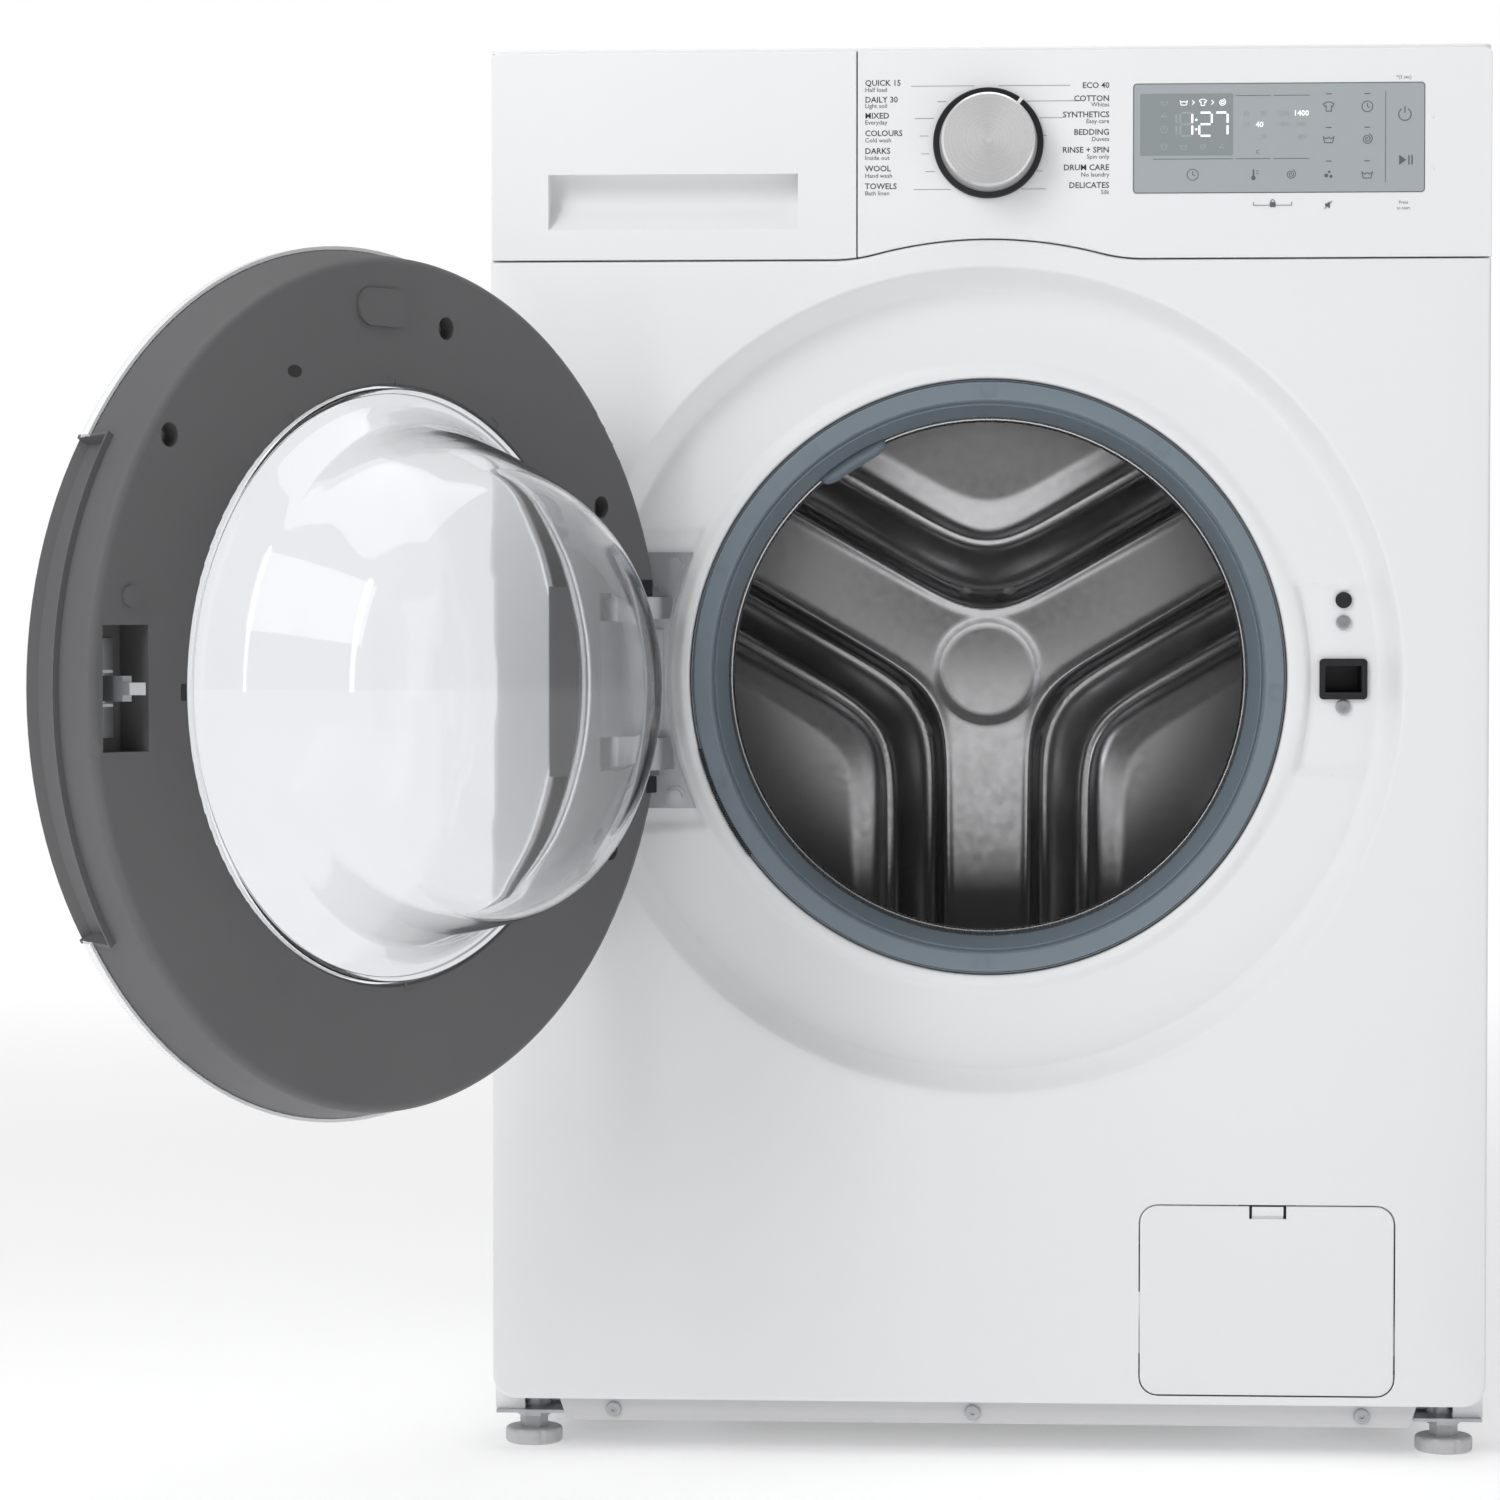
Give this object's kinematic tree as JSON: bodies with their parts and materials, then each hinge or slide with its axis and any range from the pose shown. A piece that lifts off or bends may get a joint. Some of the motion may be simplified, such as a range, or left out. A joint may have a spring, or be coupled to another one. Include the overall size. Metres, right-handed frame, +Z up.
{
  "type": "front load washing machine",
  "caption": "White front load washing machine with its round door open, a programme knob and display above, and a grey rubber door seal around a steel drum.",
  "frame": {"origin": "on the floor under the middle of the cabinet's footprint", "axes": "+Z up, +Y from the door into the machine, +X to the right of someone facing the door"},
  "size_m": [0.7983, 0.9694, 0.85],
  "materials": {
    "white_enamel": "semi-gloss baked enamel",
    "white_plastic": "fine satin moulding",
    "grey_plastic": "satin moulded grey",
    "dark_plastic": "satin black",
    "display_glass": "translucent grey window",
    "brushed_aluminium": "spun brushing on its face",
    "clear_cover": "clear polished",
    "bowl_glass": "clear pressed glass",
    "gasket_rubber": "soft matt blue-grey",
    "black_rubber": "matt",
    "stainless": "fine brushed",
    "zinc_steel": "zinc plated",
    "cast_alloy": "die cast, blasted",
    "tub_plastic": "glass filled moulding",
    "cast_iron": "painted casting",
    "board": "circuit board",
    "motor_paint": "dull casting"
  },
  "bodies": {
    "cabinet": {"cabinet_wrap": "white_enamel", "rear_cover": "white_enamel", "top_cover": "white_plastic", "front_panel": "white_enamel", "control_panel": "white_plastic", "display_window": "display_glass", "display_board": "board", "kick_strip": "white_enamel", "cabinet_screws": "zinc_steel", "base_frame": "zinc_steel", "foot_nuts": "zinc_steel", "dispenser_housing": "tub_plastic", "hinge_bracket": "cast_alloy", "door_lock": "dark_plastic", "door_buffer": "black_rubber", "gasket": "gasket_rubber", "gasket_clamp": "zinc_steel", "damper_cylinders": "dark_plastic", "suspension_springs": "zinc_steel", "flap_frame": "dark_plastic", "pump_housing": "tub_plastic", "fill_hose": "black_rubber", "sump_hose": "black_rubber", "drain_hose": "grey_plastic", "inlet_valve": "white_plastic", "power_gland": "dark_plastic", "transit_caps": "grey_plastic"},
    "knob": {"knob_cap": "brushed_aluminium", "knob_ring": "dark_plastic"},
    "drawer": {"drawer_front": "white_plastic", "drawer_tray": "white_plastic"},
    "door": {"door_inner_ring": "grey_plastic", "door_outer_ring": "white_plastic", "door_cover": "clear_cover", "door_glass": "bowl_glass", "door_screws": "zinc_steel", "hinge_pin": "zinc_steel", "latch_plate": "zinc_steel"},
    "hook": {"latch_hook": "cast_alloy"},
    "tub": {"tub_front": "tub_plastic", "tub_rear": "tub_plastic", "bearings": "zinc_steel", "heater": "stainless", "counterweight": "cast_iron", "motor_body": "motor_paint", "drive_belt": "black_rubber", "damper_rods": "zinc_steel"},
    "drum": {"drum_shell": "stainless", "drum_back": "stainless", "drum_lifters": "tub_plastic", "drum_spider": "cast_alloy", "drum_pulley": "cast_alloy"},
    "rotor": {"motor_pulley": "zinc_steel"},
    "flap": {"filter_flap": "white_plastic"},
    "cap": {"filter_cap": "grey_plastic"},
    "impeller": {"pump_impeller": "dark_plastic"},
    "foot_a": {"foot_front_left": "dark_plastic"},
    "foot_b": {"foot_front_right": "dark_plastic"},
    "foot_c": {"foot_rear_left": "dark_plastic"},
    "foot_d": {"foot_rear_right": "dark_plastic"}
  },
  "joints": [
    {"name": "door_hinge", "type": "hinge", "parent": "cabinet", "child": "door", "pos_m": [-0.224, -0.285, 0.4695], "axis": [0, 0, -1], "range_deg": [-124, 2]},
    {"name": "latch_pivot", "type": "hinge", "parent": "door", "child": "hook", "pos_m": [-0.46024, -0.6576, 0.4705], "axis": [0, 0, -1], "range_deg": [0, 8], "stiffness_Nm_per_rad": 0.2, "springref_deg": -11.46},
    {"name": "programme_knob", "type": "hinge", "parent": "cabinet", "child": "knob", "pos_m": [0, -0.287, 0.7921], "axis": [0, 1, 0], "continuous": true},
    {"name": "detergent_drawer", "type": "slide", "parent": "cabinet", "child": "drawer", "axis": [0, -1, 0], "range_m": [0, 0.22]},
    {"name": "filter_flap_hinge", "type": "hinge", "parent": "cabinet", "child": "flap", "pos_m": [0.1685, -0.271, 0.0529], "axis": [1, 0, 0], "range_deg": [0, 90]},
    {"name": "filter_cap_turn", "type": "hinge", "parent": "cabinet", "child": "cap", "pos_m": [0.1685, -0.253, 0.096], "axis": [0, -1, 0], "range_deg": [0, 180]},
    {"name": "tub_float", "type": "slide", "parent": "cabinet", "child": "tub", "axis": [0, 0, 1], "range_m": [-0.008, 0.008], "stiffness_N_per_m": 30000, "springref_m": 0.01187, "deforming": ["gasket", "suspension_springs", "fill_hose", "sump_hose"]},
    {"name": "drum_spin", "type": "hinge", "parent": "tub", "child": "drum", "pos_m": [0, 0, 0.4715], "axis": [0, 1, 0], "continuous": true},
    {"name": "motor_spin", "type": "hinge", "parent": "tub", "child": "rotor", "pos_m": [0.095, 0.24, 0.163], "axis": [0, 1, 0], "continuous": true},
    {"name": "pump_spin", "type": "hinge", "parent": "cabinet", "child": "impeller", "pos_m": [0.1685, -0.16, 0.096], "axis": [0, 1, 0], "continuous": true},
    {"name": "foot_screw_a", "type": "slide", "parent": "cabinet", "child": "foot_a", "axis": [0, 0, -1], "range_m": [0, 0.01]},
    {"name": "foot_screw_b", "type": "slide", "parent": "cabinet", "child": "foot_b", "axis": [0, 0, -1], "range_m": [0, 0.01]},
    {"name": "foot_screw_c", "type": "slide", "parent": "cabinet", "child": "foot_c", "axis": [0, 0, -1], "range_m": [0, 0.01]},
    {"name": "foot_screw_d", "type": "slide", "parent": "cabinet", "child": "foot_d", "axis": [0, 0, -1], "range_m": [0, 0.01]}
  ],
  "couplings": [
    {"joint": "motor_spin", "follows": "drum_spin", "ratio": 12.674}
  ]
}
